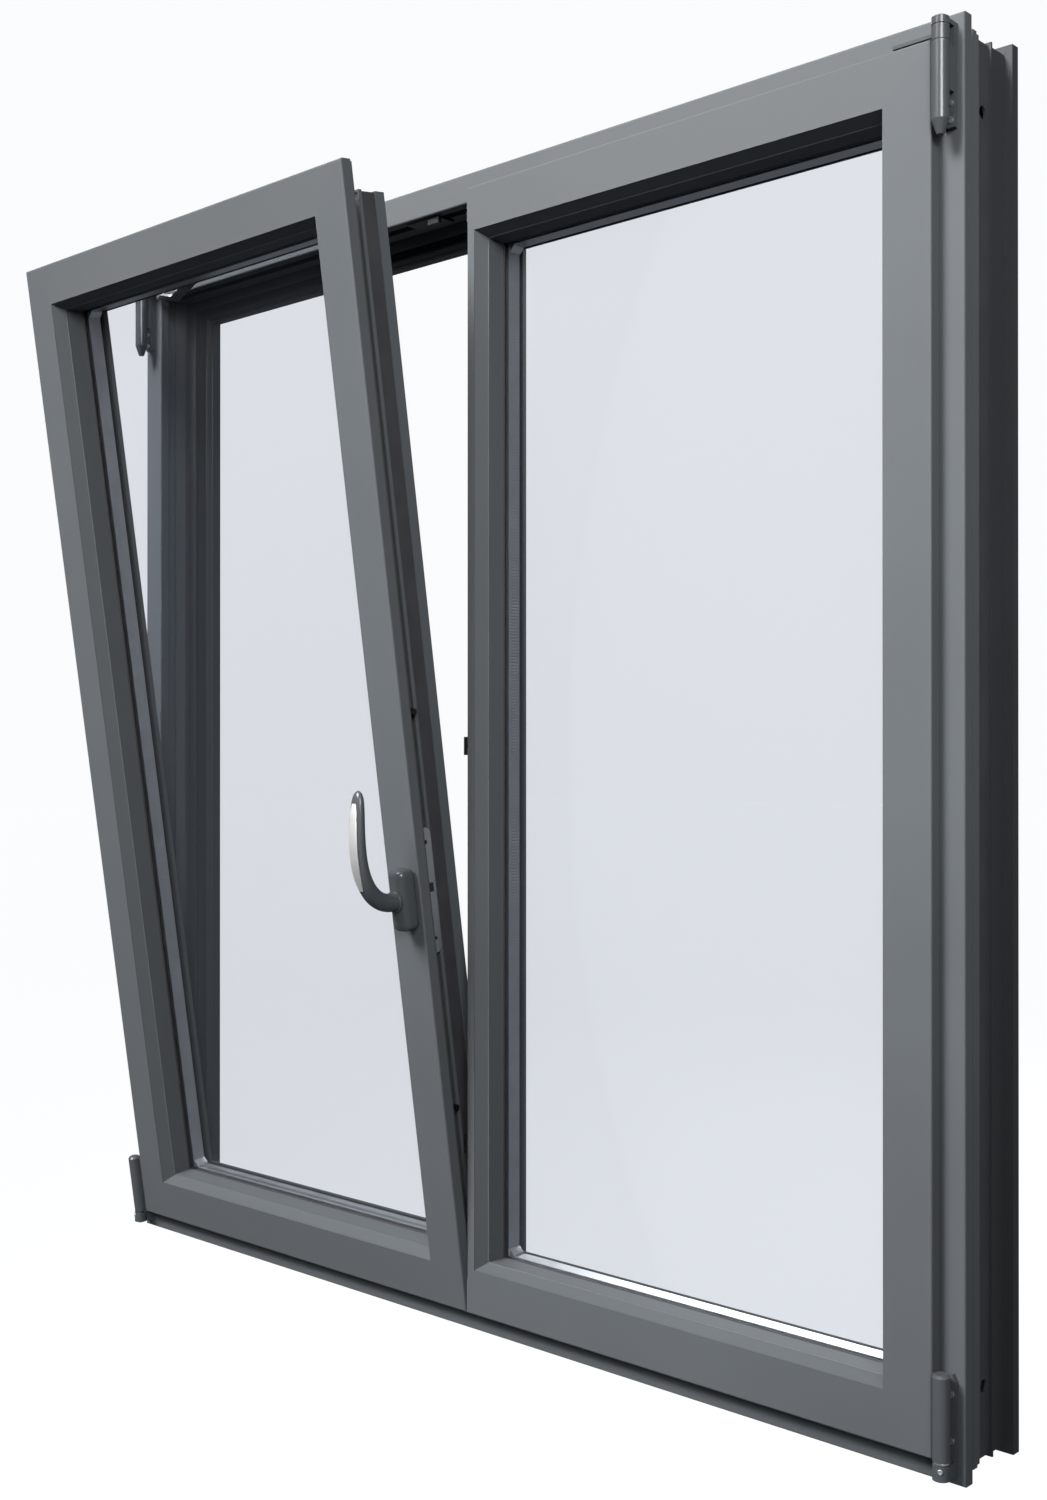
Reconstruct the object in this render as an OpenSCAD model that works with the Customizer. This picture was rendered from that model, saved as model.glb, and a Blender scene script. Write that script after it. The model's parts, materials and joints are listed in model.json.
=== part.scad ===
// Two-leaf tilt-and-turn window, drawn with its left leaf tilted into the room.
// Millimetres. X runs along the window, Y from the room to the outside, +Z is up.
// The origin is the middle of the sill's seat. Each piece is drawn from the room
// face of the frame and then moved by origin_depth.

/* [Window] */
// Width of the frame body, without its flanges
body_w = 1136; // [900:2:1600]
// Height of the frame body, without its flanges
body_h = 1186; // [900:2:1600]
// Angle that the left leaf is tilted into the room
tilt = 8.4; // [4:0.1:10]
// Depth from the frame's room face to the middle of the sill's seat
origin_depth = 20; // [18:0.5:22]

/* [Frame profile] */
// Width of the frame's face, from the body's outer side to the rebate
frame_face = 24; // [22:0.5:32]
// How far the room flange stands out past the body
flange_lip = 7; // [4:0.5:12]
// Depth of the room flange's return
flange_return = 12; // [8:0.5:16]
// Depth of the frame's inner shell
inner_depth = 37; // [34:0.5:44]
// Depth of the frame's thermal break
break_depth = 20; // [14:0.5:26]
// How far the outer lip reaches in past the rebate
outer_lip = 22; // [16:0.5:28]
// Depth of the frame body
frame_depth = 75; // [74:0.5:90]
// Depth of the collar that stands out of the outer face
collar_depth = 19.5; // [12:0.5:30]
// How far the outer flange stands out past the body
outer_flange = 6; // [3:0.5:10]
// Thickness of the outer flange
outer_flange_t = 10; // [4:0.5:12]
// Wall thickness of the aluminium shells
wall = 2; // [1.6:0.1:2.4]
// Radius of the rounded front edges
edge_r = 2; // [0.5:0.1:3]

/* [Leaf profile] */
// Leaf's edge, measured in from the frame body's outer side
leaf_inset = 14.8; // [13.5:0.1:17]
// How far the leaf's face stands in front of the frame's face
proud = 15.4; // [13:0.1:18]
// Width of the leaf's face
leaf_face = 45.5; // [43:0.5:56]
// Width of the leaf's overlap, from its edge to its body
overlap = 21.2; // [19:0.1:23]
// Gap between the overlap's back and the frame's face
seal_gap = 3; // [2.5:0.1:4]
// Back of the leaf's inner shell, behind the frame's face
leaf_inner_back = 27; // [26:0.5:30]
// Front of the leaf's outer shell, behind the frame's face
leaf_outer_front = 45; // [42:0.5:47]
// Back of the leaf, behind the frame's face
leaf_back = 57; // [56:0.5:58]
// Position of the active leaf's meeting edge
seam_x = 15.8; // [12:0.1:20]
// Gap between the two leaves' faces
seam_gap = 1.8; // [1:0.1:3]
// Width of the passive leaf's face at the meeting edge
passive_face = 10.5; // [9:0.5:14]
// Chamber between the two leaves' edges
chamber = 12; // [11:0.1:13]

/* [Glass] */
// Thickness of one pane
pane_t = 4; // [3:0.5:6]
// Width of the gap between the panes
pane_gap = 16; // [12:1:18]
// Front of the glass, behind the frame's face
glass_y = 23.4; // [22:0.1:24]
// How deep the glass sits behind the bead's edge
glass_bite = 14; // [11:0.5:15]

/* [Hardware] */
// Hinge axis, measured in from the body's outer side
hinge_in = 5.5; // [4:0.5:6]
// Hinge axis, in front of the frame's face
hinge_out = 16.5; // [16:0.5:19]
// Radius of the hinge barrels
barrel_r = 7.3; // [6:0.1:7.6]
// Radius of the hinge pins
pin_r = 3.5; // [2.5:0.1:4]
// Radial clearance of a turning pin
pin_play = 0.05; // [0.02:0.01:0.1]
// Height of the tilt axis above the sill's seat
tilt_z = 17; // [16:0.5:20]
// Height of the lower hinge barrels
barrel_h = 70; // [40:1:90]
// Length of the stay arm
stay_len = 430; // [300:5:440]
// Height of the handle's axis above the sill's seat
handle_z = 449; // [350:1:700]
// Distance from the meeting edge to the handle's axis
handle_in = 13.8; // [12.5:0.1:16]
// Height of the handle's housing
housing_h = 64; // [56:1:80]
// Width of the handle's housing
housing_w = 23; // [20:0.5:25]
// Depth of the handle's housing
housing_d = 22; // [14:0.5:26]
// Length of the lever, from its axis to its tip
lever_len = 118; // [90:1:140]
// Distance from the leaf's face to the lever's grip
grip_out = 62; // [50:1:70]
// Width of the lever
lever_w = 19; // [14:0.5:22]
// Thickness of the lever's grip
lever_t = 13; // [9:0.5:16]
// Travel of the drive rods over half a turn of the handle
rod_travel = 36; // [24:1:40]
// Travel of the shoot bolts
bolt_travel = 12; // [8:1:12]
// Radius of the frame's fixing holes
fixing_r = 5.5; // [3:0.5:6]
// Distance from the frame's corner to a fixing hole
fixing_in = 61; // [50:1:120]

/* [Hidden] */
$fn = 48;
eps = 0.01;
clear = 0.3;
mitre_gap = 0.1;

// Colours
paint = [0.24, 0.26, 0.28];
paint_light = [0.33, 0.35, 0.37];
black = [0.06, 0.06, 0.07];
silver = [0.72, 0.73, 0.75];
zinc = [0.62, 0.62, 0.60];
nylon = [0.10, 0.10, 0.11];
glass_tint = [0.80, 0.86, 0.92, 0.35];

// Levels behind the frame's room face
leaf_y = -proud;
overlap_back = -seal_gap;
outer_front = inner_depth + break_depth;
lip_front = leaf_back + 6.5;
pane2_y = glass_y + pane_t + pane_gap;
glass_back = pane2_y + pane_t;
groove_y = 17;

// Levels in from a leaf's own edge
floor_u = leaf_face - 9.3;
bead_u = leaf_face + 7.6;
glass_u = bead_u - glass_bite + 0.4;

// Rectangles: [left, right, bottom, top]
frame_rect = [-body_w / 2, body_w / 2, 0, body_h];
left_rect = [-body_w / 2 + leaf_inset, seam_x, leaf_inset, body_h - leaf_inset];
meet_u = leaf_face - passive_face;
passive_x = seam_x + seam_gap;
right_rect = [passive_x - meet_u, body_w / 2 - leaf_inset, leaf_inset, body_h - leaf_inset];
lock_edge = seam_x - overlap;
passive_edge = lock_edge + chamber;

// Hinge axes and the tilt
hinge_x = body_w / 2 - hinge_in;
hinge_y = -hinge_out;
leaf_body_top = body_h - leaf_inset - overlap;
function tilt_point(p) = [
  p[0],
  hinge_y + (p[1] - hinge_y) * cos(tilt) - (p[2] - tilt_z) * sin(tilt),
  tilt_z + (p[1] - hinge_y) * sin(tilt) + (p[2] - tilt_z) * cos(tilt)
];

// Stay arm: it swings about a leaning pin, so that its end follows the leaf's drop
stay_z = body_h - 15;
arm_z = leaf_body_top + 7.6;
arm_t = 3;
stay_pivot = [-hinge_x, hinge_y, stay_z];
stay_end = [-hinge_x + stay_len, groove_y, arm_z + arm_t / 2];
stay_reach = stay_end - stay_pivot;
stay_open_yz = tilt_point(stay_end) - stay_pivot;
stay_open_x = sqrt(stay_reach * stay_reach - pow(stay_open_yz[1], 2) - pow(stay_open_yz[2], 2));
stay_open = [stay_open_x, stay_open_yz[1], stay_open_yz[2]];
stay_chord = stay_open - stay_reach;
stay_lean = atan2(stay_chord[2], -stay_chord[1]);
stay_axis = [0, sin(stay_lean), cos(stay_lean)];
function flat_angle(v) = atan2(v * [0, cos(stay_lean), -sin(stay_lean)], v[0]);
stay_swing = flat_angle(stay_open) - flat_angle(stay_reach);

module at_frame() { translate([0, -origin_depth, 0]) children(); }
module on_left_leaf() {
  at_frame() translate([0, hinge_y, tilt_z]) rotate([tilt, 0, 0])
    translate([0, -hinge_y, -tilt_z]) children();
}
module on_stay_arm() {
  at_frame() translate(stay_pivot) rotate(a = stay_swing, v = stay_axis)
    translate(-stay_pivot) children();
}

// A box from one corner to the other
module span(a, b) { translate(a) cube(b - a); }

// An outline in (y, u), with y away from the room and u in from a member's outer edge
module bar(length, outline, hollow = [], hollow2 = []) {
  low = min([for (p = outline) p[1]]);
  high = max([for (p = outline) p[1]]);
  near = min([for (p = outline) p[0]]);
  far = max([for (p = outline) p[0]]);
  intersection() {
    rotate([90, 0, 90]) linear_extrude(length + 40, center = true) difference() {
      polygon(outline);
      if (len(hollow) > 0) polygon(hollow);
      if (len(hollow2) > 0) polygon(hollow2);
    }
    translate([0, far + 1, 0]) rotate([90, 0, 0]) linear_extrude(far - near + 2)
      polygon([[-length / 2 + low - 1, low - 1], [length / 2 - low + 1, low - 1],
               [length / 2 - high - 1, high + 1], [-length / 2 + high + 1, high + 1]]);
  }
}
module bottom_bar(r, outline, hollow = [], hollow2 = [], gap = 0) {
  translate([(r[0] + r[1]) / 2, 0, r[2]]) bar(r[1] - r[0] - gap, outline, hollow, hollow2);
}
module top_bar(r, outline, hollow = [], hollow2 = [], gap = 0) {
  translate([(r[0] + r[1]) / 2, 0, r[3]]) mirror([0, 0, 1])
    bar(r[1] - r[0] - gap, outline, hollow, hollow2);
}
module left_bar(r, outline, hollow = [], hollow2 = [], gap = 0) {
  translate([r[0], 0, (r[2] + r[3]) / 2]) rotate([0, 90, 0])
    bar(r[3] - r[2] - gap, outline, hollow, hollow2);
}
module right_bar(r, outline, hollow = [], hollow2 = [], gap = 0) {
  translate([r[1], 0, (r[2] + r[3]) / 2]) mirror([1, 0, 0]) rotate([0, 90, 0])
    bar(r[3] - r[2] - gap, outline, hollow, hollow2);
}
module four_bars(r, outline, hollow = []) {
  bottom_bar(r, outline, hollow, [], mitre_gap);
  top_bar(r, outline, hollow, [], mitre_gap);
  left_bar(r, outline, hollow, [], mitre_gap);
  right_bar(r, outline, hollow, [], mitre_gap);
}
function box_outline(y0, y1, u0, u1) = [[y0, u0], [y1, u0], [y1, u1], [y0, u1]];
// A quarter round about c, from angle a to angle b
function round_edge(c, r, a, b, n = 6) =
  [for (i = [0:n]) [c[0] + r * cos(a + (b - a) * i / n), c[1] + r * sin(a + (b - a) * i / n)]];
// The hardware groove cut into a profile's edge at level u, going up by step
function groove_outline(u, s) = [
  [groove_y - 6, u], [groove_y - 6, u + 2 * s], [groove_y - 8, u + 2 * s],
  [groove_y - 8, u + 8.5 * s], [groove_y + 8, u + 8.5 * s], [groove_y + 8, u + 2 * s],
  [groove_y + 6, u + 2 * s], [groove_y + 6, u]
];

// Frame profile outlines
frame_inner_outline = concat(
  round_edge([edge_r, -flange_lip + edge_r], edge_r, 270, 180),
  round_edge([edge_r, frame_face - edge_r], edge_r, 180, 90),
  groove_outline(frame_face, -1),
  [[inner_depth, frame_face], [inner_depth, 0], [31, 0], [31, -1.2], [24, -1.2], [24, 0],
   [wall, 0], [wall, -flange_lip + wall], [flange_return, -flange_lip + wall],
   [flange_return, -flange_lip]]);
frame_inner_hollow = [
  [wall, wall], [wall, frame_face - wall], [groove_y - 10, frame_face - wall],
  [groove_y - 10, frame_face - 10.5], [groove_y + 10, frame_face - 10.5],
  [groove_y + 10, frame_face - wall], [inner_depth - wall, frame_face - wall],
  [inner_depth - wall, wall]];
collar_back = frame_depth + collar_depth;
lip_u = frame_face + outer_lip;
flange_front = collar_back - outer_flange_t;
frame_outer_outline = [
  [outer_front, -0.8], [outer_front + 2, -0.8], [outer_front + 2, wall - 0.4],
  [flange_front, wall - 0.4], [flange_front, -outer_flange], [collar_back, -outer_flange],
  [collar_back, 2 * wall], [frame_depth, 2 * wall], [frame_depth, lip_u],
  [lip_front, lip_u], [lip_front, frame_face], [outer_front, frame_face]];
frame_outer_hollow = [
  [outer_front + wall, 2 * wall], [outer_front + wall, frame_face - wall],
  [lip_front + wall, frame_face - wall], [lip_front + wall, lip_u - wall],
  [frame_depth - wall, lip_u - wall], [frame_depth - wall, 2 * wall]];

// Leaf profile outlines
leaf_outline = concat(
  round_edge([leaf_y + edge_r, edge_r], edge_r, 180, 270),
  [[overlap_back, 0], [overlap_back, 2.4], [overlap_back - 3.6, 2.4],
   [overlap_back - 3.6, 7.6], [overlap_back, 7.6], [overlap_back, overlap]],
  groove_outline(overlap, 1),
  [[leaf_inner_back, overlap], [leaf_inner_back, floor_u], [leaf_y + 4, floor_u],
   [leaf_y + 4, floor_u + 1.8], [leaf_y + wall, floor_u + 1.8],
   [leaf_y + wall, leaf_face], [leaf_y, leaf_face]]);
leaf_hollow = [
  [leaf_y + wall, 9.6], [leaf_y + wall, floor_u - wall], [groove_y - 10, floor_u - wall],
  [groove_y - 10, overlap + wall], [overlap_back - wall, overlap + wall],
  [overlap_back - wall, 9.6]];
leaf_outer_outline = [
  [leaf_outer_front, overlap], [leaf_back, overlap], [leaf_back, bead_u - 2.5],
  [leaf_back - 5.7, bead_u - 0.5], [leaf_back - 5.7, floor_u], [leaf_outer_front, floor_u]];
leaf_outer_hollow = box_outline(leaf_outer_front + wall, leaf_back - wall, overlap + wall,
                                floor_u - wall);
bead_outline = [
  [leaf_y + 4, floor_u], [leaf_y + 4, floor_u + 2], [leaf_y + wall, floor_u + 2],
  [leaf_y + wall, leaf_face + 0.2], [leaf_y + 0.5, leaf_face + 0.2],
  [-1.6, leaf_face + 6.2], [-1, leaf_face + 7.1], [glass_y - 3.4, bead_u - 0.2],
  [glass_y - 3.4, bead_u - 7], [glass_y - 6, bead_u - 7], [glass_y - 6, floor_u]];
bead_hollow = [
  [leaf_y + 6, floor_u + wall], [leaf_y + 4, floor_u + 4], [leaf_y + 4, leaf_face - 0.8],
  [-1.6, leaf_face + 4.2], [0, leaf_face + 5], [glass_y - 8, leaf_face + 5.2],
  [glass_y - 8, floor_u + wall]];
inner_gasket_outline = [
  [glass_y - 3.3, bead_u - 6.6], [glass_y - 0.1, bead_u - 6.6], [glass_y - 0.1, bead_u],
  [glass_y - 2, bead_u + 0.3], [glass_y - 3.3, bead_u - 0.3]];
outer_gasket_outline = [
  [glass_back + 0.1, bead_u - 6.6], [leaf_back - 5.8, bead_u - 6.6],
  [leaf_back - 5.8, bead_u - 0.4], [glass_back + 2, bead_u + 0.4],
  [glass_back + 0.1, bead_u]];
overlap_gasket_outline = [
  [overlap_back - 3.5, 2.6], [overlap_back, 2.6], [-clear, 1.4], [-clear, 4.4],
  [overlap_back, 7.4], [overlap_back - 3.5, 7.4]];

// The passive leaf's meeting stile, in (y, u)
meet_body = passive_edge - right_rect[0];
meet_outline = [
  [leaf_y, meet_u + 1], [leaf_y + 1, meet_u], [0, meet_u], [0, meet_body],
  [groove_y - 6, meet_body], [groove_y - 6, meet_body + 2], [groove_y - 8, meet_body + 2],
  [groove_y - 8, meet_body + 6.5], [groove_y + 8, meet_body + 6.5],
  [groove_y + 8, meet_body + 2], [groove_y + 6, meet_body + 2], [groove_y + 6, meet_body],
  [leaf_inner_back, meet_body], [leaf_inner_back, floor_u], [leaf_y + 4, floor_u],
  [leaf_y + 4, floor_u + 1.8], [leaf_y + wall, floor_u + 1.8], [leaf_y + wall, leaf_face],
  [leaf_y, leaf_face]];
meet_outer_outline = [
  [leaf_outer_front, meet_body], [leaf_back, meet_body], [leaf_back, bead_u - 2.5],
  [leaf_back - 5.7, bead_u - 0.5], [leaf_back - 5.7, floor_u], [leaf_outer_front, floor_u]];

// Fixing holes through both jambs' thermal break
fix_y = inner_depth + break_depth / 2;
fix_low = fixing_in;
fix_high = body_h - fixing_in;
module fixing_holes() {
  for (z = [fix_low, fix_high], s = [-1, 1])
    translate([s * (body_w / 2 - frame_face / 2), fix_y, z]) rotate([0, 90, 0])
      cylinder(h = frame_face + 20, r = fixing_r, center = true);
}

module sill_inner_shell() { at_frame() color(paint)
  bottom_bar(frame_rect, frame_inner_outline, frame_inner_hollow); }
module head_inner_shell() { at_frame() color(paint_light)
  top_bar(frame_rect, frame_inner_outline, frame_inner_hollow); }
module left_jamb_inner_shell() { at_frame() color(paint)
  left_bar(frame_rect, frame_inner_outline, frame_inner_hollow); }
module right_jamb_inner_shell() { at_frame() color(paint)
  right_bar(frame_rect, frame_inner_outline, frame_inner_hollow); }
module frame_outer_shells() { at_frame() color(paint)
  four_bars(frame_rect, frame_outer_outline, frame_outer_hollow); }
module frame_thermal_breaks() { at_frame() color(nylon) difference() {
  union() {
    four_bars(frame_rect, box_outline(inner_depth, outer_front, wall, wall + 2.2));
    four_bars(frame_rect, box_outline(inner_depth, outer_front, frame_face - 4.2,
                                      frame_face - 2));
  }
  fixing_holes();
} }

// An L-shaped cleat in each corner of the inner and outer shells
cleat_leg = 60;
module corner_cleat(y0, y1, d0, d1) {
  span([d0, y0, d0], [cleat_leg, y1, d1]);
  span([d0, y0, d0], [d1, y1, cleat_leg]);
}
module at_corners(r) {
  for (sx = [0, 1], sz = [0, 1])
    translate([sx == 0 ? r[0] : r[1], 0, sz == 0 ? r[2] : r[3]])
      mirror([sx, 0, 0]) mirror([0, 0, sz]) children();
}
module frame_corner_cleats() { at_frame() color(zinc) at_corners(frame_rect) {
  corner_cleat(wall + 0.2, inner_depth - wall - 0.2, wall + 0.2, frame_face - 10.7);
  corner_cleat(outer_front + wall + 0.2, frame_depth - wall - 0.2, 2 * wall + 0.2,
               frame_face - wall - 0.2);
} }
module frame_gaskets() { at_frame() color(black) {
  four_bars(frame_rect, [[outer_front - 14, frame_face - 2], [outer_front - 7, frame_face - 2],
    [outer_front - 9, frame_face + 9], [outer_front - 11, frame_face + 9]]);
  four_bars(frame_rect, [[lip_front, lip_u - 8], [lip_front, lip_u - 2.4],
    [leaf_back + clear, lip_u - 4], [leaf_back + clear, lip_u - 6.5]]);
} }
module drain_caps() { at_frame() color(paint) for (x = [-body_w / 4, body_w / 4]) {
  translate([x, frame_depth + 3.2, wall + 16]) rotate([90, 0, 0])
    linear_extrude(3.2) hull() for (s = [-1, 1]) translate([s * 12, 0]) circle(6);
} }

// Keeps: two U-shaped keeps for the passive leaf's bolts, and hooks for the active leaf
bolt_x = passive_edge + 3.8;
keep_t = 2.5;
module bolt_keep() {
  difference() {
    span([-16, groove_y - 12, 0], [16, groove_y + 12, keep_t]);
    translate([0, groove_y, -1]) cylinder(h = keep_t + 2, r = 5.2);
  }
}
top_keep_x = lock_edge - 65;
hook_end = -8;
module frame_keeps() { at_frame() color(zinc) {
  translate([bolt_x, 0, frame_face]) bolt_keep();
  translate([bolt_x, 0, body_h - frame_face]) mirror([0, 0, 1]) bolt_keep();
  for (z = [frame_face, body_h - frame_face])
    translate([top_keep_x, 0, z]) rotate([0, z > body_h / 2 ? 180 : 0, 0]) {
      span([-24, groove_y - 12, 0], [24, groove_y + 12, keep_t]);
      span([-24, groove_y - 12, keep_t], [hook_end, groove_y - 7, keep_t + 5.5]);
    }
} }

// Bearings on the frame's face
plate_t = 5;
plate_h = 84;
knuckle_top = tilt_z - 3.2;
// Lower bearing, drawn about its own axis
module corner_bearing(bore) {
  difference() {
    union() {
      cylinder(h = knuckle_top - 2, r = barrel_r);
      span([-barrel_r + 1, 0, 0], [barrel_r - 2.3, hinge_out - plate_t + 1, knuckle_top - 2]);
      translate([0, hinge_out, -2]) hull() {
        span([-barrel_r + 1, -plate_t, 0], [barrel_r - 2.3, 0, plate_h - 6]);
        span([-barrel_r + 4, -plate_t, 0], [barrel_r - 5.3, 0, plate_h]);
      }
    }
    if (bore) translate([0, 0, -3]) cylinder(h = knuckle_top + 4, r = pin_r + pin_play);
  }
}
module left_corner_bearing() { at_frame() color(paint)
  translate([-hinge_x, hinge_y, 2]) corner_bearing(true); }
module right_corner_bearing() { at_frame() color(paint)
  translate([hinge_x, hinge_y, 2]) mirror([1, 0, 0]) {
    corner_bearing(false);
    cylinder(h = knuckle_top + 34, r = pin_r);
    cylinder(h = knuckle_top + 0.8, r = barrel_r - 1.2);
  } }

// Upper bearing: long knuckle with a tapered foot, a pin, and a cap above the arm's ring
ring_low = stay_z - 4.5;
ring_high = stay_z + 7.5;
ring_play = 0.7;
foot_z = ring_low - 76;
module top_bearing() {
  translate([0, 0, foot_z + 12]) cylinder(h = ring_low - ring_play - foot_z - 12, r = barrel_r);
  translate([0, 0, foot_z]) cylinder(h = 12, r1 = 3.2, r2 = barrel_r, $fn = 64);
  translate([0, 0, ring_low - 20]) cylinder(h = ring_high - ring_low + 24, r = pin_r);
  translate([0, 0, ring_high + ring_play])
    cylinder(h = stay_z + 14 - ring_high - ring_play, r = barrel_r);
  span([-barrel_r + 1, 0, foot_z + 36], [2, hinge_out - plate_t + 1, ring_low - 3]);
  span([-barrel_r + 1, 0, ring_high + 2], [2, hinge_out - plate_t + 1, stay_z + 13]);
  translate([0, hinge_out, 0])
    span([-barrel_r + 1, -plate_t, foot_z + 8], [4.2, 0, stay_z + 13]);
}
module left_stay_bearing() { at_frame() color(paint)
  translate([-hinge_x, hinge_y, 0]) top_bearing(); }
module right_top_bearing() { at_frame() color(paint)
  translate([hinge_x, hinge_y, 0]) mirror([1, 0, 0]) top_bearing(); }
module bearing_screws() { at_frame() color(silver)
  for (s = [-1, 1], z = [30, 68, foot_z + 14, foot_z + 28])
    translate([s * (hinge_x + 2.6), -plate_t, z]) rotate([90, 0, 0]) difference() {
      cylinder(h = 1.6, r = 2.6);
      translate([0, 0, 0.8]) cylinder(h = 2, r = 1.3, $fn = 6);
    }
}

// Carrier: the pin that turns in the lower bearing, with the ball that the leaf tilts on
ball_r = 4.5;
module corner_pivot_pin() { at_frame() color(silver) translate([-hinge_x, hinge_y, 0]) {
  translate([0, 0, 0.5]) cylinder(h = tilt_z - 0.5, r = pin_r);
  translate([0, 0, tilt_z]) sphere(ball_r);
} }

// Stay arm, drawn closed above the leaf's top rail
ring_bore = pin_r + 0.6;
leaf_top = left_rect[3];
root_x = 46;
// Ring, bridge over the leaf's edge and tab behind it, drawn about the hinge axis
module arm_root(tab_low) {
  translate([0, 0, ring_low]) cylinder(h = ring_high - ring_low, r = barrel_r);
  span([4.6, 2.5, leaf_top + 1.2], [root_x, hinge_out - plate_t - 1, leaf_top + 4.2]);
  span([13, 2.5, leaf_top + 1.2], [root_x, hinge_out - 0.5, leaf_top + 4.2]);
  span([24, hinge_out - seal_gap + clear, tab_low], [root_x, hinge_out - 0.5, leaf_top + 4.2]);
}
module stay_arm() { on_stay_arm() color(zinc) translate([-hinge_x, hinge_y, 0]) difference() {
  arm_y = hinge_out + groove_y;
  union() {
    arm_root(arm_z);
    span([24, hinge_out - seal_gap + clear, arm_z], [root_x, arm_y + 7, arm_z + arm_t]);
    span([24, arm_y - 7, arm_z], [stay_len, arm_y + 7, arm_z + arm_t]);
    translate([stay_len, arm_y, arm_z]) cylinder(h = arm_t, r = 7);
    translate([stay_len, arm_y, leaf_body_top - 2.5]) cylinder(h = arm_z - leaf_body_top + 3, r = 2.8);
  }
  translate([0, 0, ring_low - 1]) cylinder(h = 30, r = ring_bore);
} }

// Left leaf
module left_leaf_bottom_rail() { on_left_leaf() color(paint)
  bottom_bar(left_rect, leaf_outline, leaf_hollow); }
module left_leaf_top_rail() { on_left_leaf() color(paint_light)
  top_bar(left_rect, leaf_outline, leaf_hollow); }
module left_leaf_hinge_stile() { on_left_leaf() color(paint)
  left_bar(left_rect, leaf_outline, leaf_hollow); }
module left_leaf_lock_stile() { on_left_leaf() color(paint) difference() {
  right_bar(left_rect, leaf_outline, leaf_hollow);
  translate([handle_x, leaf_y - 1, handle_z]) rotate([-90, 0, 0])
    cylinder(h = 20, r = spindle_r + clear);
} }
module left_leaf_outer_shells() { on_left_leaf() color(paint)
  four_bars(left_rect, leaf_outer_outline, leaf_outer_hollow); }
module leaf_breaks(r) {
  four_bars(r, box_outline(leaf_inner_back, leaf_outer_front, overlap + 1.2, overlap + 3.2));
  four_bars(r, box_outline(leaf_inner_back, leaf_outer_front, floor_u - 3.2, floor_u - 1.2));
}
module left_leaf_thermal_breaks() { on_left_leaf() color(nylon) leaf_breaks(left_rect); }
module left_leaf_beads() { on_left_leaf() color(paint)
  four_bars(left_rect, bead_outline, bead_hollow); }
module pane(r, y) {
  span([r[0] + glass_u, y, r[2] + glass_u], [r[1] - glass_u, y + pane_t, r[3] - glass_u]);
}
module left_leaf_inner_pane() { on_left_leaf() color(glass_tint) pane(left_rect, glass_y); }
module left_leaf_outer_pane() { on_left_leaf() color(glass_tint) pane(left_rect, pane2_y); }
module spacer_bars(r) {
  four_bars(r, box_outline(glass_y + pane_t + 0.1, pane2_y - 0.1, bead_u - 6.5, bead_u + 0.6));
}
module left_leaf_spacer() { on_left_leaf() color(silver) spacer_bars(left_rect); }
module seal_bars(r) {
  four_bars(r, inner_gasket_outline);
  four_bars(r, outer_gasket_outline);
  four_bars(r, box_outline(glass_y + pane_t + 0.1, pane2_y - 0.1, glass_u + 0.5, bead_u - 6.7));
}
module left_leaf_gaskets() { on_left_leaf() color(black) {
  seal_bars(left_rect);
  difference() {
    four_bars(left_rect, overlap_gasket_outline);
    span([-hinge_x - 8, -4, leaf_body_top - 2], [-hinge_x + 56, 1, leaf_top + 4]);
  }
} }
packer_l = 100;
module packers(r) {
  for (x = [r[0] + 100, r[1] - 200], z = [r[2] + floor_u, r[3] - glass_u])
    span([x, glass_y + 0.5, z + 0.1], [x + packer_l, glass_back - 0.5, z + glass_u - floor_u - 0.1]);
}
module left_leaf_packers() { on_left_leaf() color(nylon) packers(left_rect); }

// Hinge barrel with the leg that holds the leaf's edge, drawn about its own axis
leg_in = leaf_inset - hinge_in;
barrel_low = tilt_z - 1.3;
module leaf_barrel(z0, h, bore_r, bore_h) {
  difference() {
    union() {
      translate([0, 0, z0]) cylinder(h = h - 2, r = barrel_r);
      translate([0, 0, z0 + h - 2]) cylinder(h = 2, r1 = barrel_r, r2 = barrel_r - 2, $fn = 64);
      span([3, hinge_out - proud + 0.6, z0 + 2], [leg_in, hinge_out - plate_t - 0.7, z0 + h - 2]);
    }
    translate([0, 0, z0 - 1]) cylinder(h = bore_h + 1, r = bore_r);
  }
}
module left_leaf_barrel() { on_left_leaf() color(paint)
  translate([-hinge_x, hinge_y, 0])
    leaf_barrel(barrel_low, barrel_h, ball_r + clear, tilt_z - barrel_low + ball_r + 1); }

// Lock: faceplate over the groove, its button, and the stay's guide plate
handle_x = seam_x - handle_in;
spindle_r = 3.6;
plate_len = 130;
module slot_plate(length, width, t) {
  linear_extrude(t) hull() for (s = [-1, 1]) translate([s * (length - width) / 2, 0])
    circle(width / 2);
}
module lock_faceplate() { on_left_leaf() color(silver)
  translate([lock_edge, groove_y, handle_z]) rotate([0, 90, 0]) difference() {
    slot_plate(plate_len, 15.6, 2);
    translate([-8, -3.6, -1]) cube([9.6, 7.2, 4]);
    for (x = [-50, 50]) translate([x, 0, -1]) cylinder(h = 4, r = 2.2);
  } }
module safety_button() { on_left_leaf() color(black)
  span([lock_edge - 4, groove_y - 3.3, handle_z - 1.3], [lock_edge + 3.4, groove_y + 3.3,
       handle_z + 7.7]); }
guide_len = 108;
module stay_guide() { on_left_leaf() color(zinc)
  translate([-hinge_x + stay_len - 20, groove_y, leaf_body_top]) difference() {
    slot_plate(guide_len, 15.6, 1.5);
    translate([0, 0, -1]) linear_extrude(4) hull() for (s = [-1, 1]) translate([s * 32, 0])
      circle(5.6);
  } }

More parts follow.
